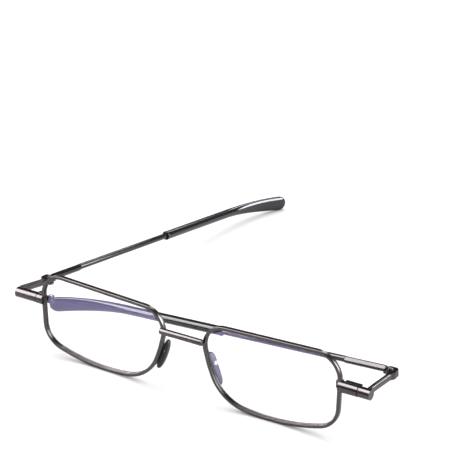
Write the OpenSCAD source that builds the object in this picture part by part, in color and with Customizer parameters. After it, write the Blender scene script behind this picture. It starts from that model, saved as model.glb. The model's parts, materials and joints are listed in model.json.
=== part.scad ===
// Folding reading glasses in their resting attitude: both rims and one temple tip on the table (z = 0).
// The front lies across X, the wearer looks towards -Y, and right and left are the wearer's own.
// The right temple stands open, and the left temple is folded behind the lenses.
// Every paired piece is made once for the left side (+X), and the right side is its mirror image.

/* [Rims and lenses] */
// Distance from the middle of the nose to each lens centre
lens_x = 33.8; // [33:0.1:36]
// Angle by which each rim wraps back towards the temple
wrap = 1.3; // [0:0.1:3]
// Width of the rim wire, seen from the front
rim_w = 1.15; // [1:0.05:1.4]
// Depth of the rim wire, front to back
rim_d = 1.7; // [1.5:0.05:2]
// Edge radius of the rim wire
rim_edge = 0.35; // [0.2:0.05:0.45]
// Depth of the groove that holds the lens
groove_depth = 0.35; // [0.2:0.05:0.4]
// Width of the groove
groove_w = 0.7; // [0.6:0.05:0.9]
// Thickness of the lens in the middle
lens_t = 2.1; // [2:0.1:2.3]
// Radius of the lens's front face
lens_face_r = 250; // [220:10:260]

/* [Bridge] */
// Height of the bridge bar above the lens centre
bridge_rise = 5.5; // [4:0.1:7]
// Radius of the bridge bar
bridge_r = 1.1; // [0.8:0.05:1.2]
// Half length of the bridge bar
bridge_half = 8.1; // [7.7:0.1:9]

/* [Nose pads] */
// Length of a pad
pad_l = 11.8; // [10:0.1:12]
// Width of a pad
pad_w = 3.6; // [3:0.1:3.7]
// Thickness of a pad
pad_t = 2.5; // [2.2:0.1:2.6]
// Slope of the pads, seen from the front
pad_slope = 20; // [18:1:22]
// Splay of the pads, seen from above
pad_splay = 13; // [10:1:16]

/* [Swivel barrels] */
// Height of the barrel axis above the lens centre
barrel_rise = 2.9; // [2:0.1:3.5]
// Place of the barrel axis behind the lens plane
barrel_y = 0.45; // [0.3:0.05:0.6]
// Radius of the fixed half
housing_r = 1.9; // [1.8:0.05:2]
// Radius of the turning half
block_r = 1.8; // [1.7:0.05:1.9]
// Inner end of both barrels
barrel_in = 56.8; // [56.6:0.1:57]
// Outer end of both barrels
barrel_out = 67.9; // [67.8:0.1:68.2]
// Where the right barrel is split
right_seam = 59.3; // [59.2:0.1:60]
// Where the left barrel is split
left_seam = 63.7; // [62:0.1:64]
// Radius of the swivel pin
swivel_pin_r = 0.75; // [0.6:0.05:0.9]

/* [Fold hinges] */
// Distance of each fold screw from the middle
fold_x = 66.1; // [66:0.1:66.2]
// Distance of each fold screw behind the lens plane
fold_y = 15.7; // [15:0.1:16]
// Radius of the hinge ears
ear_r = 1.5; // [1.4:0.05:1.5]
// Height over both hinge ears
ear_h = 2.4; // [2.4:0.1:2.6]
// Gap between the ears
ear_gap = 1.1; // [1:0.1:1.2]
// Width of the link arm
arm_w = 1.7; // [1.5:0.1:1.7]
// Height of the link arm
arm_h = 2.3; // [2.1:0.1:2.4]
// Slope of the link arm, down from its barrel to its hinge
arm_slope = 8; // [7:0.5:8.5]
// Radius of the fold screw
fold_screw_r = 0.55; // [0.5:0.05:0.6]

/* [Temples] */
// Drop of each temple below the plane in which it folds
temple_drop = 4.3; // [3:0.1:4.5]
// Distance of the temple's middle line outside the fold screw
temple_out = 0.6; // [0.5:0.05:0.6]
// Start of the front tube, measured from the fold screw
tube_from = 1.8; // [1.7:0.1:2]
// End of the front tube
tube_to = 16.6; // [15:0.1:18]
// Radius of the round rod
rod_r = 1.05; // [0.9:0.05:1.1]
// Start of the sleeve's collar, with the temple at full length
collar_from = 66.1; // [64:0.1:68]
// Outer radius of the sleeve where it is straight
sleeve_r = 1.6; // [1.55:0.05:1.7]
// Inner radius of the sleeve
sleeve_bore_r = 1.3; // [1.25:0.05:1.35]
// Where the sleeve starts to curve inwards
curve_from = 103.4; // [102.5:0.1:103.5]
// Radius of that curve
curve_r = 63; // [60:1:70]
// Angle of that curve
curve_angle = 28; // [24:0.5:28]
// Height of the paddle at the end of the temple
paddle_h = 5.5; // [4.5:0.1:5.6]
// Thickness of the paddle
paddle_t = 2.3; // [2:0.1:2.6]

/* [Rest pose] */
// How far the left sleeve is pushed in along its rod
left_slide_rest = 2.5; // [2.5:0.5:20]
// Turn of the right swivel that lays its temple tip on the table
right_swivel_rest = -2.69; // [-2.69:0.01:-2.6]
// Turn of the left swivel
left_swivel_rest = 4.9; // [0:0.1:5]
// Fold angle of the right temple, standing open
right_fold_rest = 3.2; // [3:0.1:4]
// Fold angle of the left temple, folded behind the lenses
left_fold_rest = 88.8; // [88.5:0.1:89.5]

/* [Hidden] */
$fn = 48;

RIGHT = 0;
LEFT = 1;
seam = [right_seam, left_seam];
swivel_rest = [right_swivel_rest, left_swivel_rest];
fold_rest = [right_fold_rest, left_fold_rest];
slide_rest = [0, left_slide_rest];

// Corners of the rim's centre line about the lens centre: outwards, upwards, corner radius.
rim_corners = [[23.5, 13, 8], [-28, 11.5, 7.5], [-24.5, -2, 27],
    [-20, -14, 15], [2.5, -17, 66.5], [22.5, -11.5, 8.5]];
corner_count = len(rim_corners);
bottom_corner = 4;

function point(i) = [rim_corners[i % corner_count][0], rim_corners[i % corner_count][1]];
function corner_r(i) = rim_corners[i % corner_count][2];
function unit(v) = v / norm(v);
function to_last(i) = unit(point(i + corner_count - 1) - point(i));
function to_next(i) = unit(point(i + 1) - point(i));
function turn(i) = 180 - acos(to_last(i) * to_next(i));
function tangent(i) = corner_r(i) * tan(turn(i) / 2);
function centre(i) = point(i) + unit(to_last(i) + to_next(i)) * corner_r(i) / cos(turn(i) / 2);
function arc_start(i) = point(i) + to_last(i) * tangent(i);
function arc_end(i) = point(i) + to_next(i) * tangent(i);
function start_angle(i) = let(v = arc_start(i) - centre(i)) atan2(v[1], v[0]);
arc_steps = 10;
function arc_points(i, inset) = [for (k = [0 : arc_steps])
    let(a = start_angle(i) + turn(i) * k / arc_steps)
    centre(i) + (corner_r(i) - inset) * [cos(a), sin(a)]];
function outline(inset) = [for (i = [0 : corner_count - 1]) each arc_points(i, inset)];

// The rims stand on the table on their lowest arc.
lens_z = rim_w / 2 + corner_r(bottom_corner) - centre(bottom_corner)[1];
barrel_z = lens_z + barrel_rise;
rim_side = 23.15;
fit = 0.05;
hair = 0.01;

// Place of the lens's flat back behind the rim's middle
lens_back = 0.4;

// The bridge bar lies on the front faces of both rims, sunk into them a little, and stops at their lenses.
bridge_bite = 0.2;
bridge_y = bridge_bite - bridge_r - rim_d / 2 - 26 * sin(wrap);
bridge_cut_x = 26.6;
bridge_cut_w = 3;

// Nose pads: where the middle of the left pad is, and the metal tongue inside it
pad_x = 9.8;
pad_y = 2.0;
pad_z = 11.2;
pad_crown_r = 12;
tongue_z = 1.9;
tongue_y = 0.4;
pad_tongue_w = 2.0;
pad_tongue_t = 0.5;
rivet_r = 0.7;

// Rim lock: two blocks behind the rim's temple side, with a gap between them
lock_gap_z = barrel_rise - 0.4;
lock_gap = 0.2;
lock_h = 1.1;
lock_d = 2.1;
lock_w = 1.9;
lock_x = rim_side - 1.12;
lock_y = rim_d / 2 + lock_d / 2;
lock_screw_r = 0.45;
lock_head_r = 0.75;
lock_head_h = 0.3;

// Swivel barrel
washer_t = 0.24;
washer_r = 1.65;
pin_from = 57.9;
pin_end_wall = 0.9;
stop_h = 0.3;
// The raised stop on top of each barrel's fixed half: right, left
stop_from = [57.6, 58.8];
stop_to = [59.18, 64.4];

// Link arm and hinge
arm_x = 67.05;
arm_edge = 0.6;
arm_rise = 1.04;
arm_start = 0.8;
neck_in = 66.3;
neck_l = 1.2;
web_in = 67.75;
web_out = 68.6;
ear_back = 1.5;
ear_bevel = 0.7;
fold_head_r = 0.95;
fold_head_h = 0.25;
fold_lower = 0.6;
fold_z = barrel_z - fold_lower;
slot_w = 0.25;
slot_h = 0.2;

// Temple
tongue_h = ear_gap - 2 * fit;
tongue_r = ear_r - fit;
tail_r = 0.7;
tail_l = 4.2;
tube_w = 2.0;
tube_h = 2.4;
tube_bevel = 0.75;
tube_lower = 0.2;
collar_l = 1.2;
collar_r = 1.66;
collar_spigot = 2.0;
sleeve_from = collar_from + collar_l;
bush_gap = 0.1;
bush_from = sleeve_from + collar_spigot + bush_gap;
bush_l = 4.0;
bush_r = sleeve_bore_r - fit;
bore_to = curve_from - 1;

// Paddle: sides and number of its rings, how far it reaches into the sleeve, and the share that rounds its end
ring_sides = 24;
ring_count = 26;
plug = 0.7;
nose_share = 0.1;
neck_r = 1.45;

module rounded_box_2d(w, h, r) {
    square([w - 2 * r, h], center = true);
    square([w, h - 2 * r], center = true);
    for (x = [-1, 1], y = [-1, 1])
        translate([x * (w / 2 - r), y * (h / 2 - r)])
            circle(r);
}

module bevelled_box_2d(w, h, bevel) {
    polygon([[w / 2 - bevel, h / 2], [bevel - w / 2, h / 2], [-w / 2, h / 2 - bevel], [-w / 2, bevel - h / 2],
        [bevel - w / 2, -h / 2], [w / 2 - bevel, -h / 2], [w / 2, bevel - h / 2], [w / 2, h / 2 - bevel]]);
}

// Places a piece made for the left side, or mirrors it to the right side.
module on_side(side) {
    if (side == LEFT)
        children();
    else
        mirror([1, 0, 0])
            children();
}

// The rim's own frame: X outwards, Y back, Z up, about the lens centre.
module at_rim() {
    translate([lens_x, 0, lens_z])
        rotate([0, 0, wrap])
            children();
}

// Lays a shape drawn in the XY plane upright, its thickness front to back.
module upright() {
    rotate([90, 0, 0])
        children();
}

// The swivel axis along X: what turns with the link is turned about it.
module at_swivel(side) {
    translate([0, barrel_y, barrel_z])
        rotate([swivel_rest[side], 0, 0])
            translate([0, -barrel_y, -barrel_z])
                children();
}

// The temple's hinge frame: origin on the fold screw, X outwards, Y along the open temple.
module at_fold(side) {
    at_swivel(side)
        translate([fold_x, fold_y, fold_z])
            rotate([0, 0, fold_rest[side]])
                children();
}

// The temple's own frame, dropped below the fold plane, X measured from its middle line.
module at_temple(side) {
    at_fold(side)
        translate([temple_out, 0, fold_lower])
            rotate([-temple_drop, 0, 0])
                children();
}

// The sleeve's frame: the temple's own, moved along the rod.
module at_sleeve(side) {
    at_temple(side)
        translate([0, -slide_rest[side], 0])
            children();
}

// A length of any section along the temple.
module along_temple(from, to) {
    translate([0, to, 0])
        rotate([90, 0, 0])
            linear_extrude(to - from)
                children();
}

module along_barrel(from, to, r) {
    translate([from, barrel_y, barrel_z])
        rotate([0, 90, 0])
            cylinder(h = to - from, r = r);
}

// ---- Front ----

// A plate in the shape of the lens, cut back from the rim's centre line by an inset.
module lens_plate(inset, t) {
    upright()
        linear_extrude(t, center = true)
            polygon(outline(inset));
}

module rim(side) {
    color("#4a4547")
        on_side(side)
            at_rim()
                difference() {
                    union() {
                        lens_plate(-rim_w / 2, rim_d - 2 * rim_edge);
                        lens_plate(rim_edge - rim_w / 2, rim_d);
                    }
                    lens_plate(rim_w / 2, 2 * rim_d);
                    lens_plate(rim_w / 2 - groove_depth, groove_w);
                    translate([rim_side, 0, lock_gap_z])
                        cube([3, 2 * rim_d, lock_gap], center = true);
                }
}

// The space between the flat back and the domed front of the lens, turned about its optical axis.
module lens_faces() {
    upright()
        rotate_extrude($fn = 90)
            intersection() {
                translate([0, lens_t / 2 - lens_face_r])
                    circle(lens_face_r, $fn = 1000);
                translate([0, -lens_t / 2])
                    square([1.25 * rim_side, lens_t]);
            }
}

module lens(side) {
    color("#dfe6f4", 0.35)
        on_side(side)
            at_rim()
                intersection() {
                    union() {
                        lens_plate(rim_w / 2 + fit, 2 * lens_t);
                        lens_plate(rim_w / 2 - groove_depth + fit, groove_w - 2 * fit);
                    }
                    translate([0, lens_back - lens_t / 2, 0])
                        lens_faces();
                }
}

module lock_block(low, high, bore) {
    at_rim()
        difference() {
            translate([lock_x, lock_y, (low + high) / 2])
                cube([lock_w, lock_d, high - low], center = true);
            translate([lock_x, lock_y, low - 1])
                cylinder(h = high - low + 2, r = bore);
        }
}

module lock_upper(side) {
    color("#3f3b3d")
        on_side(side)
            lock_block(lock_gap_z + lock_gap / 2, lock_gap_z + lock_gap / 2 + lock_h, lock_screw_r + fit);
}

module lock_lower(side) {
    color("#3f3b3d")
        on_side(side)
            lock_block(lock_gap_z - lock_gap / 2 - lock_h, lock_gap_z - lock_gap / 2, lock_screw_r + hair);
}

module lock_screw(side) {
    top = lock_gap_z + lock_gap / 2 + lock_h;
    color("#8d8a8c")
        on_side(side)
            at_rim()
                translate([lock_x, lock_y, 0])
                    difference() {
                        union() {
                            translate([0, 0, lock_gap_z - lock_gap / 2 - lock_h])
                                cylinder(h = 2 * lock_h + lock_gap, r = lock_screw_r);
                            translate([0, 0, top])
                                cylinder(h = lock_head_h, r = lock_head_r);
                        }
                        translate([0, 0, top + lock_head_h])
                            cube([3 * lock_head_r, slot_w, slot_h], center = true);
                    }
}

module bridge() {
    color("#575254")
        difference() {
            translate([0, bridge_y, lens_z + bridge_rise])
                rotate([0, 90, 0])
                    cylinder(h = 2 * bridge_half, r = bridge_r, center = true);
            for (side = [RIGHT, LEFT])
                on_side(side)
                    at_rim()
                        translate([-bridge_cut_x, -rim_d / 2 - hair, 0])
                            cube([bridge_cut_w, 4, 12]);
        }
}

// ---- Nose pads ----

// The pad's own frame: Z along the pad, Y across it, X through it towards the temple.
module at_pad() {
    translate([pad_x, pad_y, pad_z])
        rotate([0, -pad_slope, 0])
            rotate([0, 0, -pad_splay])
                children();
}

// The metal inside a pad: a flat tongue from the rim, and a rivet that shows on the pad's outer face.
module pad_metal(gap) {
    at_pad()
        translate([0, tongue_y, tongue_z]) {
            translate([0, -pad_w / 2, 0])
                cube([pad_tongue_t, pad_w, pad_tongue_w] + 2 * gap * [1, 1, 1], center = true);
            rotate([0, 90, 0])
                cylinder(h = pad_t / 2 + gap, r = rivet_r + gap);
        }
}

module nose_pad(side) {
    color("#26262a")
        on_side(side)
            difference() {
                at_pad()
                    rotate([0, -90, 0])
                        intersection() {
                            linear_extrude(pad_t, center = true)
                                union() {
                                    square([pad_l - pad_w, pad_w], center = true);
                                    for (x = [-1, 1])
                                        translate([x * (pad_l - pad_w) / 2, 0])
                                            circle(pad_w / 2);
                                }
                            translate([0, 0, pad_t / 2 - pad_crown_r])
                                rotate([0, 90, 0])
                                    cylinder(h = 2 * pad_l, r = pad_crown_r, center = true, $fn = 120);
                        }
                pad_metal(hair);
                at_rim()
                    lens_plate(-rim_w / 2 - fit, rim_d + 2 * fit);
            }
}

// Everything in front of the back face of the rim, near the nose.
module rim_space() {
    at_rim()
        translate([-rim_side - 5, -rim_d, -12])
            cube([12, 3 * rim_d / 2 + hair, 12]);
}

module pad_mount(side) {
    color("#8b8789")
        on_side(side)
            difference() {
                pad_metal(0);
                rim_space();
            }
}

// ---- Swivels ----

module swivel_housing(side) {
    color("#7d7779")
        on_side(side)
            difference() {
                union() {
                    along_barrel(barrel_in, seam[side] - washer_t / 2, housing_r);
                    translate([stop_from[side], barrel_y - 0.1, barrel_z + housing_r - 0.35])
                        cube([stop_to[side] - stop_from[side], 1.1, stop_h + 0.35]);
                }
                at_rim()
                    translate([rim_side - rim_w / 2 - hair, -rim_d / 2 - hair, -6])
                        cube([rim_w + 2 * hair, rim_d + 2 * hair, 12]);
                along_barrel(pin_from, barrel_out, swivel_pin_r + hair);
                along_barrel(seam[side] - washer_t / 2, barrel_out, block_r + 2 * fit);
            }
}
module swivel_pin(side) {
    color("#a5a2a3")
        on_side(side)
            along_barrel(pin_from, barrel_out - pin_end_wall, swivel_pin_r);
}

module swivel_washer(side) {
    color("#1d1c1e")
        on_side(side)
            difference() {
                along_barrel(seam[side] - washer_t / 2, seam[side] + washer_t / 2, washer_r);
                along_barrel(seam[side] - 1, seam[side] + 1, swivel_pin_r + hair);
            }
}

// ---- Link: outer half of the barrel, arm and hinge ears ----

// The ears before their slot is cut, and the neck that widens from the arm to the web outside the slot.
module ear_plate() {
    inner = neck_in - fold_x;
    outer = web_out - fold_x;
    linear_extrude(ear_h, center = true)
        union() {
            circle(ear_r);
            polygon([[0, 0], [inner, -ear_r], [inner, -ear_r - neck_l], [web_in - fold_x, -ear_r - neck_l],
                [outer, -ear_r], [outer, ear_r - ear_bevel], [outer - ear_bevel, ear_r], [0, ear_r]]);
        }
}

module link(side) {
    color("#6e696b")
        on_side(side)
            at_swivel(side)
                difference() {
                    union() {
                        along_barrel(seam[side] + washer_t / 2 + fit, barrel_out, block_r);
                        translate([arm_x, barrel_y, barrel_z + arm_rise])
                            rotate([-arm_slope, 0, 0])
                                along_temple(arm_start, fold_y - ear_r - barrel_y)
                                    rounded_box_2d(arm_w, arm_h, arm_edge);
                        translate([fold_x, fold_y, fold_z])
                            ear_plate();
                    }
                    along_barrel(seam[side], barrel_out - pin_end_wall + 0.2, swivel_pin_r + fit);
                    translate([fold_x - 4, fold_y - ear_r - 0.3, fold_z - ear_gap / 2])
                        cube([web_in - fold_x + 4, 6, ear_gap]);
                    translate([fold_x, fold_y, fold_z - ear_h])
                        cylinder(h = 2 * ear_h, r = fold_screw_r + hair);
                }
}

module fold_screw(side) {
    color("#8d8a8c")
        on_side(side)
            at_swivel(side)
                translate([fold_x, fold_y, fold_z])
                    difference() {
                        union() {
                            translate([0, 0, -ear_h / 2])
                                cylinder(h = ear_h, r = fold_screw_r);
                            translate([0, 0, ear_h / 2])
                                cylinder(h = fold_head_h, r = fold_head_r);
                        }
                        translate([0, 0, ear_h / 2 + fold_head_h])
                            cube([3 * fold_head_r, slot_w, slot_h], center = true);
                    }
}

// ---- Temple ----

module hinge_tongue(side) {
    color("#5a5658")
        on_side(side)
            difference() {
                union() {
                    at_fold(side)
                        linear_extrude(tongue_h, center = true)
                            union() {
                                circle(tongue_r);
                                translate([-tongue_r + 0.3, 0])
                                    square([2 * tongue_r - 0.6, tube_from + 0.1]);
                            }
                    at_temple(side)
                        along_temple(ear_back + 0.1, tube_from + tail_l)
                            circle(tail_r);
                }
                at_fold(side)
                    translate([0, 0, -ear_h])
                        cylinder(h = 2 * ear_h, r = fold_screw_r + fit);
            }
}

module front_tube(side) {
    color("#3c393b")
        on_side(side)
            difference() {
                at_temple(side)
                    difference() {
                        along_temple(tube_from, tube_to)
                            translate([0, -tube_lower])
                                bevelled_box_2d(tube_w, tube_h, tube_bevel);
                        along_temple(tube_from - 1, tube_to + 1)
                            circle(tail_r + hair);
                    }
                at_fold(side)
                    translate([0, tube_from, 0])
                        cube([2 * tongue_r, 0.6, tongue_h + 2 * hair], center = true);
            }
}

module temple_rod(side) {
    color("#353235")
        on_side(side)
            at_temple(side) {
                along_temple(tube_to, bush_from)
                    circle(rod_r);
                along_temple(tube_to - tail_l, bush_from + bush_l)
                    circle(tail_r);
            }
}

module rod_bush(side) {
    color("#d8d4cc")
        on_side(side)
            at_temple(side)
                along_temple(bush_from, bush_from + bush_l)
                    difference() {
                        circle(bush_r);
                        circle(tail_r + hair);
                    }
}

module sleeve_collar(side) {
    color("#1c1b1d")
        on_side(side)
            at_sleeve(side) {
                along_temple(collar_from, sleeve_from)
                    difference() {
                        circle(collar_r);
                        circle(rod_r + fit);
                    }
                along_temple(sleeve_from, sleeve_from + collar_spigot)
                    difference() {
                        circle(sleeve_bore_r - hair);
                        circle(rod_r + fit);
                    }
            }
}

// The curved paddle: elliptical rings along an arc that turns inwards, closed to a rounded end.
function along(t) = -plug + t * (curve_r * curve_angle * PI / 180 + plug);
function swell(t) = t * t * (3 - 2 * t);
function closing(t) = t > 1 - nose_share ? sqrt(max(0.03, 1 - pow((t - 1 + nose_share) / nose_share, 2))) : 1;
function half_h(t) = (neck_r + (paddle_h / 2 - neck_r) * swell(t)) * closing(t);
function half_t(t) = (neck_r + (paddle_t / 2 - neck_r) * swell(min(1, 1.3 * t))) * closing(t);
function share(k) = let(u = k / ring_count)
    u < 0.6 ? u * (1 - nose_share) / 0.6 : 1 - nose_share * (1 - sin(90 * (u - 0.6) / 0.4));
function ring(t) = let(a = max(0, along(t)) / curve_r * 180 / PI,
    y = curve_from + min(0, along(t)) + curve_r * sin(a), x = -curve_r * (1 - cos(a)))
    [for (j = [0 : ring_sides - 1]) let(b = 360 * j / ring_sides)
        [x + half_t(t) * cos(b) * cos(a), y + half_t(t) * cos(b) * sin(a), half_h(t) * sin(b)]];
paddle_points = [for (k = [0 : ring_count]) each ring(share(k))];
paddle_faces = concat(
    [[for (j = [ring_sides - 1 : -1 : 0]) j]],
    [for (k = [0 : ring_count - 1], j = [0 : ring_sides - 1])
        let(a = k * ring_sides + j, b = k * ring_sides + (j + 1) % ring_sides)
        [a, b, b + ring_sides, a + ring_sides]],
    [[for (j = [0 : ring_sides - 1]) ring_count * ring_sides + j]]);

module temple_tip(side) {
    color("#17161a")
        on_side(side)
            at_sleeve(side)
                union() {
                    along_temple(sleeve_from, bore_to)
                        difference() {
                            circle(sleeve_r);
                            circle(sleeve_bore_r);
                        }
                    along_temple(bore_to, curve_from)
                        circle(sleeve_r);
                    polyhedron(paddle_points, paddle_faces, convexity = 4);
                }
}

bridge();
rim(RIGHT);  // right_rim
lens(RIGHT);  // right_lens
lock_upper(RIGHT);  // right_lock_upper
lock_lower(RIGHT);  // right_lock_lower
lock_screw(RIGHT);  // right_lock_screw
pad_mount(RIGHT);  // right_pad_mount
nose_pad(RIGHT);  // right_nose_pad
swivel_housing(RIGHT);  // right_swivel_housing
swivel_pin(RIGHT);  // right_swivel_pin
swivel_washer(RIGHT);  // right_swivel_washer
link(RIGHT);  // right_link
fold_screw(RIGHT);  // right_fold_screw
hinge_tongue(RIGHT);  // right_hinge_tongue
front_tube(RIGHT);  // right_front_tube
temple_rod(RIGHT);  // right_temple_rod
rod_bush(RIGHT);  // right_rod_bush
sleeve_collar(RIGHT);  // right_sleeve_collar
temple_tip(RIGHT);  // right_temple_tip
rim(LEFT);  // left_rim
lens(LEFT);  // left_lens
lock_upper(LEFT);  // left_lock_upper
lock_lower(LEFT);  // left_lock_lower
lock_screw(LEFT);  // left_lock_screw
pad_mount(LEFT);  // left_pad_mount
nose_pad(LEFT);  // left_nose_pad
swivel_housing(LEFT);  // left_swivel_housing
swivel_pin(LEFT);  // left_swivel_pin
swivel_washer(LEFT);  // left_swivel_washer
link(LEFT);  // left_link
fold_screw(LEFT);  // left_fold_screw
hinge_tongue(LEFT);  // left_hinge_tongue
front_tube(LEFT);  // left_front_tube
temple_rod(LEFT);  // left_temple_rod
rod_bush(LEFT);  // left_rod_bush
sleeve_collar(LEFT);  // left_sleeve_collar
temple_tip(LEFT);  // left_temple_tip
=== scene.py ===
import json
import math

import bmesh
import bpy
from mathutils import Matrix, Vector

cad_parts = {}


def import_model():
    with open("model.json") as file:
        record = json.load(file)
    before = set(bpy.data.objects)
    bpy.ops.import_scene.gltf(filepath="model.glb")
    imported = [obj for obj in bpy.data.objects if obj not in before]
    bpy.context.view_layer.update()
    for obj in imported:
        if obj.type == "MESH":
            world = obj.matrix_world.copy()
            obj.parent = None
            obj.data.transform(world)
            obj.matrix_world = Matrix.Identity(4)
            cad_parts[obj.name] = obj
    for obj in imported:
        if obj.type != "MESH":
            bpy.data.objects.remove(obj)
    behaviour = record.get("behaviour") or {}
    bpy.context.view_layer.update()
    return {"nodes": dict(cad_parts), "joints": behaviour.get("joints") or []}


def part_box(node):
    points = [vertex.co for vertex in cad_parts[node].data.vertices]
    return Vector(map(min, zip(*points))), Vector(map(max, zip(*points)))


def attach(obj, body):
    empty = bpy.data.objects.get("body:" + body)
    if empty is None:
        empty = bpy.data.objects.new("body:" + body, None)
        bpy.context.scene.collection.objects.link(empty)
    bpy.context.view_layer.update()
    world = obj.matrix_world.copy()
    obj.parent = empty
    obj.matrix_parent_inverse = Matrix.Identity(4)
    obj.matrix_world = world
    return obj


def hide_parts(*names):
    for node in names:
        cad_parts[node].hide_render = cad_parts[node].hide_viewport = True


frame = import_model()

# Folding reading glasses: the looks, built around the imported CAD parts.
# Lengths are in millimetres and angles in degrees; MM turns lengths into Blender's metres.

MM = 0.001
SIDES = ("right", "left")
JOINTS = {joint["name"]: joint for joint in frame["joints"]}

# ---- Frames of the moving parts, from the record ----


def mirror_of(side):
    """Pieces are made for the left side (+X); the right side is their mirror image."""
    return Matrix.Scale(-1, 4, (1, 0, 0)) if side == "right" else Matrix.Identity(4)


def basis(x_axis, y_axis, z_axis, origin):
    """The matrix that takes a piece's own axes to these directions and its origin to this point."""
    place = Matrix((x_axis, y_axis, z_axis)).transposed().to_4x4()
    place.translation = origin
    return place


def reach(node, place):
    """Lowest and highest corners of a CAD node in a piece's own frame, in millimetres."""
    back = place.inverted()
    points = [back @ (v.co / MM) for v in frame["nodes"][node].data.vertices]
    low = Vector(min(p[i] for p in points) for i in range(3))
    high = Vector(max(p[i] for p in points) for i in range(3))
    return low, high


def temple_frame(side):
    """Origin beside the fold screw on the rod's middle line, X outwards, Y towards the tip, Z up."""
    along = -Vector(JOINTS[side + "_slide"]["axis"]).normalized()
    up = Vector(JOINTS[side + "_fold"]["axis"])
    up = up if up.z > 0 else -up
    up = (up - along * up.dot(along)).normalized()
    out = along.cross(up) if side == "left" else up.cross(along)
    place = basis(out, along, up, Vector(JOINTS[side + "_fold"]["pos_m"]) / MM)
    low, high = reach(side + "_temple_rod", place)
    middle = (low + high) / 2
    return place @ Matrix.Translation((middle.x, 0, middle.z))


# How far the tip reaches from the fold screw with the sleeve at full length
TIP_END = 133.03


def sleeve_frame(side):
    """The temple's frame, moved along the rod so that the tip's end lies where the CAD tip's does."""
    place = temple_frame(side)
    _, high = reach(side + "_temple_tip", place)
    return place @ Matrix.Translation((0, high.y - TIP_END, 0))


# ---- Meshes ----

# Radius that stands for a turned piece's axis, so that its end rings keep all their points
AXIS_R = 0.001
# A rounded end never narrows to nothing, for the same reason
LEAST_END = 0.0004
LATHE_SIDES = 56
# Points closer than this in the CAD mesh, in metres, are one point
SAME_POINT = 1e-7
# Faces of the CAD mesh within this angle lie in one plane
SAME_PLANE = 0.5
# Edges sharper than this get a bevel
BEVEL_OVER = 30
BEVEL_STEPS = 3


def new_object(name, bm, material, place=Matrix.Identity(4), flat_over=35):
    """A smooth-shaded object with sharp edges only where its faces turn by more than flat_over."""
    bm.transform(Matrix.Scale(MM, 4) @ place)
    bmesh.ops.recalc_face_normals(bm, faces=bm.faces)
    mesh = bpy.data.meshes.new(name)
    bm.to_mesh(mesh)
    bm.free()
    for face in mesh.polygons:
        face.use_smooth = True
    mesh.set_sharp_from_angle(angle=math.radians(flat_over))
    mesh.materials.append(material)
    obj = bpy.data.objects.new(name, mesh)
    bpy.context.scene.collection.objects.link(obj)
    return obj


def loft(rings, closed=False):
    """A skin over rings of equally many points, capped at both ends unless it closes on itself."""
    bm = bmesh.new()
    rows = [[bm.verts.new(p) for p in ring] for ring in rings]
    count = len(rings[0])
    after_rows = rows[1:] + rows[:1] if closed else rows[1:]
    for row, after in zip(rows, after_rows):
        for j in range(count):
            k = (j + 1) % count
            bm.faces.new((row[j], row[k], after[k], after[j]))
    if not closed:
        bm.faces.new(rows[0])
        bm.faces.new(rows[-1])
    return bm


def turned_rings(profile):
    """Rings about Z through the (radius, height) points of a profile."""
    turns = [2 * math.pi * j / LATHE_SIDES for j in range(LATHE_SIDES)]
    return [[(r * math.cos(a), r * math.sin(a), height) for a in turns] for r, height in profile]


def rounded_corner(before, corner, after, size, share, steps):
    """A curve in place of a corner, from size before it to size after it; a short side gives a share."""
    a, b, c = Vector(before), Vector(corner), Vector(after)
    cut = min(size, share * (a - b).length, share * (c - b).length)
    start, end = b + (a - b).normalized() * cut, b + (c - b).normalized() * cut
    ts = [k / steps for k in range(steps + 1)]
    return [start * (1 - t) ** 2 + b * 2 * t * (1 - t) + end * t * t for t in ts]


def rounded(corners, radius):
    """Rounds the inner corners of an open profile."""
    out = [corners[0]]
    for before, corner, after in zip(corners, corners[1:], corners[2:]):
        out += [tuple(p) for p in rounded_corner(before, corner, after, radius, 0.45, 4)]
    out.append(corners[-1])
    return out


def solid_lathe(name, corners, material, place, radius):
    """A turned piece: (radius, height) corners with small rounded edges, closed at both ends."""
    return new_object(name, loft(turned_rings(rounded(corners, radius))), material, place)


def ring_lathe(name, corners, material, place, radius):
    """A turned ring with a hole: its corners run once round the section."""
    start = tuple((Vector(corners[0]) + Vector(corners[-1])) / 2)
    profile = rounded([start, *corners, start], radius)[:-1]
    return new_object(name, loft(turned_rings(profile), closed=True), material, place)


def squared(turn, power):
    """Cosine and sine of a turn, raised to a power that squares the circle off when it is below 1."""
    c, s = math.cos(turn), math.sin(turn)
    return math.copysign(abs(c) ** power, c), math.copysign(abs(s) ** power, s)


def eased(t):
    """0 to 1 with a level start and end."""
    return t * t * (3 - 2 * t)


def softened(name, node, material, edge):
    """A copy of a CAD node with its sharp edges broken by a small bevel."""
    bm = bmesh.new()
    bm.from_mesh(frame["nodes"][node].data)
    bmesh.ops.remove_doubles(bm, verts=bm.verts, dist=SAME_POINT)
    bmesh.ops.dissolve_limit(bm, angle_limit=math.radians(SAME_PLANE), verts=bm.verts, edges=bm.edges)
    bm.transform(Matrix.Scale(1 / MM, 4))
    obj = new_object(name, bm, material)
    bevel = obj.modifiers.new("edges", "BEVEL")
    bevel.width = edge * MM
    bevel.segments = BEVEL_STEPS
    bevel.limit_method = "ANGLE"
    bevel.angle_limit = math.radians(BEVEL_OVER)
    bevel.use_clamp_overlap = True
    bevel.harden_normals = True
    return obj


def finish_piece(obj, body, slot, *nodes):
    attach(obj, body)
    if nodes:
        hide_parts(*nodes)
    return obj


# ---- Materials ----

# Every material here is procedural. Noise stays near 0.5, so only its middle is spread over a range.
NOISE_ROUGHNESS = 0.55
NUMBER_SPREAD = (0.3, 0.7)
COLOUR_SPREAD = (0.35, 0.65)
# Height of the grain in a polished, lacquered or moulded surface
GRAIN_HEIGHT = 0.004


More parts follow.
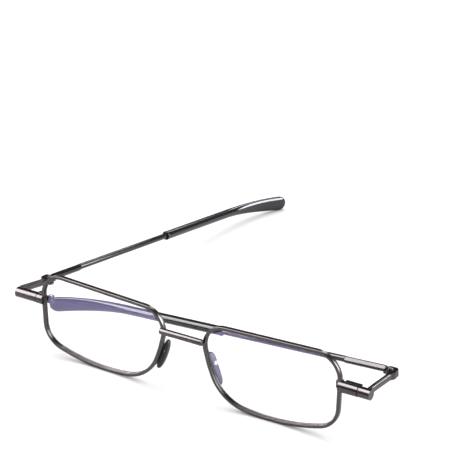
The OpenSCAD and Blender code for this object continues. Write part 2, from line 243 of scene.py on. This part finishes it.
def new_material(name):
    material = bpy.data.materials.new(name)
    material.use_nodes = True
    nodes = material.node_tree.nodes
    return material, nodes, material.node_tree.links, nodes["Principled BSDF"]


def noise(nodes, links, scale, detail):
    """Noise in the object's own coordinates, so that it stays on the piece when a joint moves."""
    where = nodes.new("ShaderNodeTexCoord")
    texture = nodes.new("ShaderNodeTexNoise")
    texture.inputs["Scale"].default_value = scale
    texture.inputs["Detail"].default_value = detail
    texture.inputs["Roughness"].default_value = NOISE_ROUGHNESS
    links.new(where.outputs["Object"], texture.inputs["Vector"])
    return texture.outputs["Fac"]


def ramp(nodes, links, source, low, high):
    """Maps noise to a range of numbers."""
    node = nodes.new("ShaderNodeMapRange")
    node.inputs["From Min"].default_value = NUMBER_SPREAD[0]
    node.inputs["From Max"].default_value = NUMBER_SPREAD[1]
    node.inputs["To Min"].default_value = low
    node.inputs["To Max"].default_value = high
    links.new(source, node.inputs["Value"])
    return node.outputs["Result"]


def tint(nodes, links, source, low, high):
    """Maps noise to the colours between two."""
    node = nodes.new("ShaderNodeValToRGB")
    for element, position, colour in zip(node.color_ramp.elements, COLOUR_SPREAD, (low, high)):
        element.position = position
        element.color = (*colour, 1)
    links.new(source, node.inputs["Fac"])
    return node.outputs["Color"]


def bumped(nodes, links, shader, source, strength):
    """Raises and lowers the surface a little with noise."""
    node = nodes.new("ShaderNodeBump")
    node.inputs["Distance"].default_value = GRAIN_HEIGHT * MM
    node.inputs["Strength"].default_value = strength
    links.new(source, node.inputs["Height"])
    links.new(node.outputs["Normal"], shader.inputs["Normal"])


def plated_metal(name, low, high, roughness, grain=2200):
    """Polished plating: faint clouding of the colour and a fine grain in the polish."""
    material, nodes, links, shader = new_material(name)
    cloud = noise(nodes, links, scale=160, detail=3)
    fine = noise(nodes, links, scale=grain, detail=5)
    links.new(tint(nodes, links, cloud, low, high), shader.inputs["Base Color"])
    links.new(ramp(nodes, links, fine, *roughness), shader.inputs["Roughness"])
    bumped(nodes, links, shader, fine, strength=0.25)
    shader.inputs["Metallic"].default_value = 1.0
    return material


def gloss_lacquer(name, low, high):
    """Glossy black lacquer with a thin clear coat and a faint orange-peel surface."""
    material, nodes, links, shader = new_material(name)
    cloud = noise(nodes, links, scale=90, detail=3)
    peel = noise(nodes, links, scale=700, detail=2)
    links.new(tint(nodes, links, cloud, low, high), shader.inputs["Base Color"])
    links.new(ramp(nodes, links, peel, 0.07, 0.13), shader.inputs["Roughness"])
    bumped(nodes, links, shader, peel, strength=0.12)
    shader.inputs["IOR"].default_value = 1.46
    shader.inputs["Coat Weight"].default_value = 0.15
    shader.inputs["Coat Roughness"].default_value = 0.04
    return material


def silicone(name, low, high):
    """Dark smooth silicone, slightly cloudy, with a soft skin."""
    material, nodes, links, shader = new_material(name)
    cloud = noise(nodes, links, scale=240, detail=3)
    skin = noise(nodes, links, scale=2600, detail=3)
    links.new(tint(nodes, links, cloud, low, high), shader.inputs["Base Color"])
    links.new(ramp(nodes, links, skin, 0.36, 0.5), shader.inputs["Roughness"])
    bumped(nodes, links, shader, skin, strength=0.3)
    shader.inputs["Specular IOR Level"].default_value = 0.25
    shader.inputs["Sheen Weight"].default_value = 0.1
    return material


def plain_finish(name, low, high, roughness, metallic=0.0):
    """One even finish, faintly cloudy in colour and gloss."""
    material, nodes, links, shader = new_material(name)
    cloud = noise(nodes, links, scale=500, detail=3)
    links.new(tint(nodes, links, cloud, low, high), shader.inputs["Base Color"])
    links.new(ramp(nodes, links, cloud, *roughness), shader.inputs["Roughness"])
    shader.inputs["Metallic"].default_value = metallic
    return material


def coated_lens(name, through, sheen_low, sheen_high, roughness):
    """Clear material whose coating mirrors a tinted part of the light over what shows through it."""
    material, nodes, links, shader = new_material(name)
    nodes.remove(shader)
    clear = nodes.new("ShaderNodeBsdfTransparent")
    mirror = nodes.new("ShaderNodeBsdfGlossy")
    both = nodes.new("ShaderNodeAddShader")
    haze = noise(nodes, links, scale=60, detail=2)
    clear.inputs["Color"].default_value = (*through, 1)
    links.new(tint(nodes, links, haze, sheen_low, sheen_high), mirror.inputs["Color"])
    mirror.inputs["Roughness"].default_value = roughness
    links.new(clear.outputs["BSDF"], both.inputs[0])
    links.new(mirror.outputs["BSDF"], both.inputs[1])
    links.new(both.outputs["Shader"], nodes["Material Output"].inputs["Surface"])
    return material


PLASTIC_ROUGHNESS = (0.45, 0.6)

MATERIALS = {
    "gunmetal": plated_metal(
        "plated gunmetal", (0.07, 0.062, 0.064), (0.084, 0.075, 0.077), (0.2, 0.3)),
    "barrel_gunmetal": plated_metal(
        "polished barrel plating", (0.068, 0.061, 0.064), (0.08, 0.072, 0.075), (0.15, 0.22)),
    "temple_gunmetal": plated_metal(
        "dark temple plating", (0.046, 0.042, 0.044), (0.056, 0.052, 0.054), (0.16, 0.25)),
    "hinge_screw": plated_metal(
        "dark hinge screw", (0.13, 0.122, 0.128), (0.16, 0.152, 0.156), (0.2, 0.3), grain=3500),
    # The pad rivet's pale colour is partly its own pale metal and partly a painted highlight. Its metallic
    # of 0.5 adds a light matt part that shows the white glint under any light.
    "rivet_nickel_and_painted_glint": plain_finish(
        "pale rivet with painted glint", (0.36, 0.36, 0.37), (0.42, 0.42, 0.43), (0.3, 0.4), metallic=0.5),
    "screw_steel": plated_metal(
        "bright screw steel", (0.5, 0.49, 0.5), (0.58, 0.57, 0.58), (0.18, 0.28), grain=3500),
    "black_gloss": gloss_lacquer("gloss black lacquer", (0.008, 0.008, 0.011), (0.013, 0.013, 0.017)),
    "pad_silicone": silicone("dark silicone", (0.012, 0.012, 0.016), (0.022, 0.021, 0.027)),
    "washer_black": plain_finish(
        "black washer", (0.012, 0.012, 0.012), (0.02, 0.02, 0.02), PLASTIC_ROUGHNESS),
    "bush_nylon": plain_finish(
        "natural nylon", (0.6, 0.58, 0.52), (0.68, 0.66, 0.6), PLASTIC_ROUGHNESS),
    "lens_clear": coated_lens(
        "coated lens", (0.962, 0.964, 0.926), (0.05, 0.044, 0.09), (0.056, 0.049, 0.1), 0.03),
    "lens_edge": coated_lens(
        "lens edge", (0.97, 0.965, 0.96), (0.004, 0.004, 0.006), (0.006, 0.006, 0.008), 0.5),
}

# ---- Rims and lenses ----

# The lens centre's distance from the middle of the bridge, and the turn of each lens about the vertical
LENS_X = 33.8
WRAP = 1.3
RIM_W = 1.15
RIM_D = 1.7
# Corners of the rim's centre line about the lens centre: outwards, upwards, corner radius
RIM_CORNERS = (
    (23.5, 13, 8), (-28, 11.5, 7.5), (-24.5, -2, 27),
    (-20, -14, 15), (2.5, -17, 66.5), (22.5, -11.5, 8.5),
)
RIM_CORNER_STEPS = 26
# Height and width of the gap where the rim is split
LOCK_Z = 2.5
LOCK_GAP = 0.2
# Half widths of the lens groove at its mouth and at its floor, and its depth
GROOVE_MOUTH = 0.34
GROOVE_FLOOR = 0.16
GROOVE_DEPTH = 0.35
# Rounding of the eyewire's outer edges, of its inner edges and the groove's mouth, and of the groove's floor
RIM_OUTER_EDGE = 0.42
RIM_INNER_EDGE = 0.28
GROOVE_EDGE = 0.05
EDGE_STEPS = 5
# Places of the lens's flat back and of its front at the rim, and how far the front bulges in the middle
LENS_BACK = 0.3
LENS_FRONT = -0.3
LENS_CROWN = 1.1
# Rows of points from the middle of each face to near its edge, and the first and last one's scales
LENS_ROWS = 14
LENS_FIRST_ROW = 0.02
LENS_LAST_ROW = 0.96
# Play of the lens inside the rim and at the floor of its groove, and half width of its bevelled edge
LENS_PLAY = 0.02
GROOVE_PLAY = 0.06
LENS_BEVEL = 0.28


def rim_line():
    """Points of the rim's centre line and their outward directions, from above the lock round to below."""
    corners = [Vector(c[:2]) for c in RIM_CORNERS]
    line = []
    for i, (_, _, radius) in enumerate(RIM_CORNERS):
        here, last, after = corners[i], corners[i - 1], corners[(i + 1) % len(corners)]
        a, b = (last - here).normalized(), (after - here).normalized()
        turn = math.pi - a.angle(b)
        centre = here + (a + b).normalized() * radius / math.cos(turn / 2)
        start = here + a * radius * math.tan(turn / 2) - centre
        first = math.atan2(start.y, start.x)
        for k in range(RIM_CORNER_STEPS + 1):
            angle = first + turn * k / RIM_CORNER_STEPS
            out = Vector((math.cos(angle), math.sin(angle)))
            line.append((centre + out * radius, out))
    return line


def lock_end(line, height):
    """The point at a given height on the straight side between the last corner and the first."""
    (p, out), (q, _) = line[-1], line[0]
    t = (height - p.y) / (q.y - p.y)
    return p.lerp(q, t), out


LINE = rim_line()
# The lowest arc of the rim stands on the table
LENS_Z = RIM_W / 2 - min(p.y for p, _ in LINE)


def rim_frame(side):
    """Origin in the lens centre, X outwards, Y backwards, Z up."""
    place = Matrix.Translation((LENS_X, 0, LENS_Z)) @ Matrix.Rotation(math.radians(WRAP), 4, "Z")
    return mirror_of(side) @ place


def rim_section():
    """Section of the eyewire, outwards and backwards: soft corners and a groove for the lens."""
    w, d = RIM_W / 2, RIM_D / 2
    groove = [(-w, GROOVE_MOUTH), (-w + GROOVE_DEPTH, GROOVE_FLOOR)]
    groove += [(-w + GROOVE_DEPTH, -GROOVE_FLOOR), (-w, -GROOVE_MOUTH)]
    corners = [(w, 0), (w, d), (-w, d), *groove, (-w, -d), (w, -d), (w, 0)]
    out = []
    for before, corner, after in zip(corners, corners[1:], corners[2:]):
        if corner[0] > 0:
            size = RIM_OUTER_EDGE
        elif abs(corner[1]) >= GROOVE_MOUTH:
            size = RIM_INNER_EDGE
        else:
            size = GROOVE_EDGE
        out += rounded_corner(before, corner, after, size, 0.46, EDGE_STEPS)
    return out


def rim(side):
    line = [lock_end(LINE, LOCK_Z + LOCK_GAP / 2), *LINE, lock_end(LINE, LOCK_Z - LOCK_GAP / 2)]
    section = rim_section()
    rings = []
    for point, out in line:
        rings.append([(point.x + out.x * s.x, s.y, point.y + out.y * s.x) for s in section])
    bm = loft(rings)
    obj = new_object(side + "_eyewire", bm, MATERIALS["gunmetal"], rim_frame(side), flat_over=50)
    return finish_piece(obj, "front", "gunmetal", side + "_rim")


def lens(side):
    """A domed front, a flat back and a plain edge with a bevel that sits in the rim's groove."""
    edge = RIM_W / 2 + LENS_PLAY
    tip = edge - GROOVE_DEPTH + GROOVE_PLAY

    def row(scale, inset, depth):
        points = [(point - out * inset) * scale for point, out in LINE]
        return [(p.x, depth, p.y) for p in points]

    step = (LENS_LAST_ROW - LENS_FIRST_ROW) / (LENS_ROWS - 1)
    scales = [LENS_FIRST_ROW + step * k for k in range(LENS_ROWS)] + [1]
    rings = [row(s, edge, LENS_FRONT - LENS_CROWN * (1 - s * s)) for s in scales]
    rings += [row(1, edge, -LENS_BEVEL), row(1, tip, 0.0), row(1, edge, LENS_BEVEL)]
    rings += [row(s, edge, LENS_BACK) for s in reversed(scales)]
    bm = loft(rings)
    obj = new_object(side + "_lens_blank", bm, MATERIALS["lens_clear"], rim_frame(side), flat_over=25)
    # Faces that touch the rows from the front's last to the back's first look like the edge
    edge_rows = range(LENS_ROWS, len(rings) - LENS_ROWS)
    obj.data.materials.append(MATERIALS["lens_edge"])
    for face in obj.data.polygons:
        if any(i // len(LINE) in edge_rows for i in face.vertices):
            face.material_index = 1
    return finish_piece(obj, "front", "lens_clear", side + "_lens")


# ---- Nose pads ----

PAD_CENTRE = (9.8, 2.0, 11.2)
PAD_L = 11.8
PAD_W = 3.6
PAD_T = 2.46
PAD_SLOPE = 20
PAD_SPLAY = 13
# How far the middle of the pad bows, and how much thinner its ends are than its middle
PAD_BOW = 0.22
PAD_THINNING = 0.25
# Shape of the ends in the long view, then in width and in thickness, and the squareness of the section
PAD_END = 5
PAD_END_W = 0.5
PAD_END_T = 0.4
PAD_SQUARE = 0.8
PAD_SIDES = 40
PAD_RINGS = 44


def nose_pad(side):
    """A soft silicone pad, crowned all round, bowed along its length and thinner towards its ends."""
    slope = Matrix.Rotation(math.radians(-PAD_SLOPE), 4, "Y")
    splay = Matrix.Rotation(math.radians(-PAD_SPLAY), 4, "Z")
    rings = []
    for k in range(PAD_RINGS + 1):
        t = -math.cos(math.pi * k / PAD_RINGS)
        end = max(1 - abs(t) ** PAD_END, LEAST_END)
        half_w = PAD_W / 2 * end ** PAD_END_W
        half_t = PAD_T / 2 * (1 - PAD_THINNING * t * t) * end ** PAD_END_T
        shift = -PAD_BOW * (0.5 - t * t)
        ring = []
        for j in range(PAD_SIDES):
            c, s = squared(2 * math.pi * j / PAD_SIDES, PAD_SQUARE)
            ring.append((shift + c * half_t, s * half_w, t * PAD_L / 2))
        rings.append(ring)
    place = mirror_of(side) @ Matrix.Translation(PAD_CENTRE) @ slope @ splay
    obj = new_object(side + "_soft_pad", loft(rings), MATERIALS["pad_silicone"], place, flat_over=60)
    return finish_piece(obj, "front", "pad_silicone", side + "_nose_pad")


# ---- Bridge ----

BRIDGE_EDGE = 0.22


def bridge():
    """A round bar across the fronts of the rims, its ends dressed to a soft edge."""
    low, high = (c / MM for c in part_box("bridge"))
    r = (high.z - low.z) / 2
    centre = Vector((0, low.y + r, low.z + r))
    place = basis((0, 1, 0), (0, 0, 1), (1, 0, 0), centre)
    half = high.x
    corners = [(AXIS_R, -half), (r, -half), (r, half), (AXIS_R, half)]
    obj = solid_lathe("bridge_bar", corners, MATERIALS["gunmetal"], place, BRIDGE_EDGE)
    return finish_piece(obj, "front", "gunmetal", "bridge")


# ---- Temples ----

# Turns a lathe's Z axis to a temple's Y axis
ALONG_TEMPLE = Matrix.Rotation(math.radians(-90), 4, "X")
# The rod is turned down where it sits in the front tube and where it carries the bush
ROD_TAIL_R = 0.69
ROD_EDGE = 0.12
COLLAR_BORE = 1.12
COLLAR_SPIGOT_R = 1.28
COLLAR_EDGE = 0.22


def rod(side):
    """The round bar, thicker between the front tube and the bush than inside them."""
    place = temple_frame(side)
    low, high = reach(side + "_temple_rod", place)
    _, tube_high = reach(side + "_front_tube", place)
    bush_low, _ = reach(side + "_rod_bush", place)
    r = (high.x - low.x) / 2
    corners = [(AXIS_R, low.y), (ROD_TAIL_R, low.y), (ROD_TAIL_R, tube_high.y), (r, tube_high.y)]
    corners += [(r, bush_low.y), (ROD_TAIL_R, bush_low.y), (ROD_TAIL_R, high.y), (AXIS_R, high.y)]
    obj = solid_lathe(
        side + "_rod", corners, MATERIALS["temple_gunmetal"], place @ ALONG_TEMPLE, ROD_EDGE)
    return finish_piece(obj, side + "_temple", "temple_gunmetal", side + "_temple_rod")


def collar(side):
    """The lip at the sleeve's mouth and the spigot that holds it inside the sleeve."""
    place = temple_frame(side)
    low, high = reach(side + "_sleeve_collar", place)
    sleeve_low, _ = reach(side + "_temple_tip", place)
    r, mouth = (high.x - low.x) / 2, sleeve_low.y
    corners = [(COLLAR_BORE, low.y), (r, low.y), (r, mouth)]
    corners += [(COLLAR_SPIGOT_R, mouth), (COLLAR_SPIGOT_R, high.y), (COLLAR_BORE, high.y)]
    obj = ring_lathe(
        side + "_collar_ring", corners, MATERIALS["black_gloss"], place @ ALONG_TEMPLE, COLLAR_EDGE)
    return finish_piece(obj, side + "_sleeve", "black_gloss", side + "_sleeve_collar")


CURVE_FROM = 103.4
CURVE_R = 63
CURVE_ANGLE = 28
SLEEVE_R = 1.6
SLEEVE_BORE = 1.3
# Rounding of the sleeve's mouth
SLEEVE_LIP = 0.12
# The bore stops before the curve, and the outside is plain up to a place before that
BORE_SHORT = 1
PLAIN_SHORT = 6
# Height and thickness of the paddle at its widest
PADDLE_H = 5.5
PADDLE_T = 2.3
# The paddle grows flat this much sooner than it grows tall
FLAT_SOONER = 1.3
# How much squarer than a circle the paddle's section gets
PADDLE_SQUARE = 0.7
# Share of the curve that the rounded end takes, and the share of the rings spent before it
NOSE = 0.1
RINGS_BEFORE_NOSE = 0.6
TIP_RINGS = 44
TIP_SIDES = 48


def tip_rings(start):
    """The sleeve from the end of its bore round its mouth, then the curve and the paddle."""

    def ring(along, half_t, half_h, exponent=2):
        angle = max(0, along - CURVE_FROM) / CURVE_R
        x0 = -CURVE_R * (1 - math.cos(angle))
        y0 = min(along, CURVE_FROM) + CURVE_R * math.sin(angle)
        points = []
        for j in range(TIP_SIDES):
            c, s = squared(2 * math.pi * j / TIP_SIDES, 2 / exponent)
            x, y = c * half_t * math.cos(angle), c * half_t * math.sin(angle)
            points.append((x0 + x, y0 + y, s * half_h))
        return points

    bore_end = CURVE_FROM - BORE_SHORT
    mouth_r = SLEEVE_R - SLEEVE_LIP
    rings = [ring(bore_end, 0.01, 0.01), ring(bore_end, SLEEVE_BORE, SLEEVE_BORE)]
    rings += [ring(start, SLEEVE_BORE, SLEEVE_BORE), ring(start, mouth_r, mouth_r)]
    rings += [ring(start + SLEEVE_LIP, SLEEVE_R, SLEEVE_R)]
    rings += [ring(CURVE_FROM - PLAIN_SHORT, SLEEVE_R, SLEEVE_R)]
    length = CURVE_R * math.radians(CURVE_ANGLE)
    for k in range(TIP_RINGS + 1):
        u = k / TIP_RINGS
        if u < RINGS_BEFORE_NOSE:
            t = u * (1 - NOSE) / RINGS_BEFORE_NOSE
        else:
            share = (u - RINGS_BEFORE_NOSE) / (1 - RINGS_BEFORE_NOSE)
            t = 1 - NOSE * (1 - math.sin(math.pi / 2 * share))
        into_nose = max(0, (t - 1 + NOSE) / NOSE)
        close = math.sqrt(max(LEAST_END, 1 - into_nose ** 2))
        swell = eased(t)
        flat = eased(min(1, FLAT_SOONER * t))
        half_h = (SLEEVE_R + (PADDLE_H / 2 - SLEEVE_R) * swell) * close
        half_t = (SLEEVE_R + (PADDLE_T / 2 - SLEEVE_R) * flat) * close
        rings.append(ring(CURVE_FROM + t * length, half_t, half_h, 2 + PADDLE_SQUARE * swell))
    return rings


def tip(side):
    place = sleeve_frame(side)
    low, _ = reach(side + "_temple_tip", place)
    bm = loft(tip_rings(low.y))
    obj = new_object(side + "_ear_tip", bm, MATERIALS["black_gloss"], place, flat_over=40)
    return finish_piece(obj, side + "_sleeve", "black_gloss", side + "_temple_tip")


# ---- Small CAD parts ----

# Parts with softened edges: body, slot, material, width of the bevel
SOFT_PARTS = {
    "lock_upper": ("front", "gunmetal", "gunmetal", 0.12),
    "lock_lower": ("front", "gunmetal", "gunmetal", 0.12),
    "lock_screw": ("front", "screw_steel", "screw_steel", 0.06),
    "pad_mount": ("front", "screw_steel", "rivet_nickel_and_painted_glint", 0.12),
    "swivel_housing": ("front", "barrel_gunmetal", "barrel_gunmetal", 0.14),
    "link": ("arm", "barrel_gunmetal", "barrel_gunmetal", 0.14),
    "fold_screw": ("arm", "screw_steel", "hinge_screw", 0.06),
    "hinge_tongue": ("temple", "barrel_gunmetal", "barrel_gunmetal", 0.06),
    "front_tube": ("temple", "temple_gunmetal", "temple_gunmetal", 0.1),
}
# Hidden parts that keep their CAD shape, with their materials
PLAIN_PARTS = {
    "swivel_pin": "screw_steel",
    "swivel_washer": "washer_black",
    "rod_bush": "bush_nylon",
}


def small_parts(side):
    for part, (body, slot, look, edge) in SOFT_PARTS.items():
        node = side + "_" + part
        obj = softened(node + "_soft", node, MATERIALS[look], edge)
        finish_piece(obj, body if body == "front" else side + "_" + body, slot, node)
    for part, slot in PLAIN_PARTS.items():
        mesh = frame["nodes"][side + "_" + part].data
        mesh.materials.clear()
        mesh.materials.append(MATERIALS[slot])


for side in SIDES:
    rim(side)
    lens(side)
    nose_pad(side)
    rod(side)
    collar(side)
    tip(side)
    small_parts(side)
bridge()

# ---- Floor, lights and camera ----

FLOOR_HALF = 2500
WORLD_STRENGTH = 0.15
# The viewing angle, distance and framing fitted to the photograph
CAMERA_AZIMUTH = 33.04
CAMERA_ELEVATION = 23.86
CAMERA_ROLL = -0.2
CAMERA_AIM = (-4.6, 26.0, 48.7)
CAMERA_DISTANCE = 711
CAMERA_SENSOR = 36
CAMERA_LENS = 173
CAMERA_SHIFT = (0.0227, -0.0022)
# In metres
CAMERA_CLIP = (0.01, 20)
# Lights that matt surfaces see and mirrors don't, then lights that only mirrors see:
# centre, width and height, watts
TABLE_LIGHT = ((-450, 350, 1300), (1800, 1800), 20)
FILL_OFFSET, FILL_HEIGHT, FILL_SIZE, FILL_WATTS = 1800, 1300, (2500, 2500), 20
LONG_SOFTBOX = ((-950, -650, 1150), (1000, 2200), 88)
BACK_STRIP = ((-200, 1200, 980), (300, 500), 5)
SIDE_SOFTBOX = ((1250, 520, 580), (1300, 900), 80)
SIDE_COLOUR = (0.92, 0.96, 1)


def floor():
    """A pale table top, far larger than the glasses."""
    bm = bmesh.new()
    ways = ((-1, -1), (1, -1), (1, 1), (-1, 1))
    bm.faces.new([bm.verts.new((x * FLOOR_HALF, y * FLOOR_HALF, 0)) for x, y in ways])
    material, nodes, links, shader = new_material("pale table")
    cloud = noise(nodes, links, scale=6, detail=3)
    colour = tint(nodes, links, cloud, (0.9, 0.9, 0.9), (0.92, 0.92, 0.92))
    links.new(colour, shader.inputs["Base Color"])
    shader.inputs["Roughness"].default_value = 0.9
    shader.inputs["Specular IOR Level"].default_value = 0.1
    new_object("floor", bm, material)


def softbox(name, centre, size, watts, mirrored, colour=(1, 1, 1)):
    """An area light that faces the glasses, seen by mirrors only or by matt surfaces only."""
    data = bpy.data.lights.new(name, "AREA")
    data.shape = "RECTANGLE"
    data.size, data.size_y = (s * MM for s in size)
    data.energy = watts
    data.color = colour
    obj = bpy.data.objects.new(name, data)
    obj.location = Vector(centre) * MM
    obj.rotation_euler = (-obj.location).to_track_quat("-Z", "Y").to_euler()
    obj.visible_glossy = mirrored
    obj.visible_diffuse = not mirrored
    obj.visible_camera = False
    bpy.context.scene.collection.objects.link(obj)


def lights():
    softbox("table light", *TABLE_LIGHT, mirrored=False)
    for way_x, way_y in ((1, 0), (0, 1), (-1, 0), (0, -1)):
        centre = (FILL_OFFSET * way_x, FILL_OFFSET * way_y, FILL_HEIGHT)
        softbox("fill light", centre, FILL_SIZE, FILL_WATTS, mirrored=False)
    softbox("long softbox", *LONG_SOFTBOX, mirrored=True)
    softbox("back strip", *BACK_STRIP, mirrored=True)
    softbox("side softbox", *SIDE_SOFTBOX, mirrored=True, colour=SIDE_COLOUR)


def camera():
    azimuth, elevation = math.radians(CAMERA_AZIMUTH), math.radians(CAMERA_ELEVATION)
    level = math.cos(elevation)
    back = Vector((math.sin(azimuth) * level, -math.cos(azimuth) * level, math.sin(elevation)))
    data = bpy.data.cameras.new("camera")
    data.sensor_width = CAMERA_SENSOR
    data.lens = CAMERA_LENS
    data.shift_x, data.shift_y = CAMERA_SHIFT
    data.clip_start, data.clip_end = CAMERA_CLIP
    obj = bpy.data.objects.new("camera", data)
    obj.location = (Vector(CAMERA_AIM) + back * CAMERA_DISTANCE) * MM
    looking = back.to_track_quat("Z", "Y").to_matrix()
    obj.rotation_euler = (looking @ Matrix.Rotation(math.radians(CAMERA_ROLL), 3, "Z")).to_euler()
    bpy.context.scene.collection.objects.link(obj)
    bpy.context.scene.camera = obj


def world():
    surround = bpy.data.worlds.new("studio")
    surround.use_nodes = True
    background = surround.node_tree.nodes["Background"]
    background.inputs["Color"].default_value = (1, 1, 1, 1)
    background.inputs["Strength"].default_value = WORLD_STRENGTH
    bpy.context.scene.world = surround


floor()
world()
lights()
camera()
bpy.context.scene.view_settings.view_transform = "Standard"
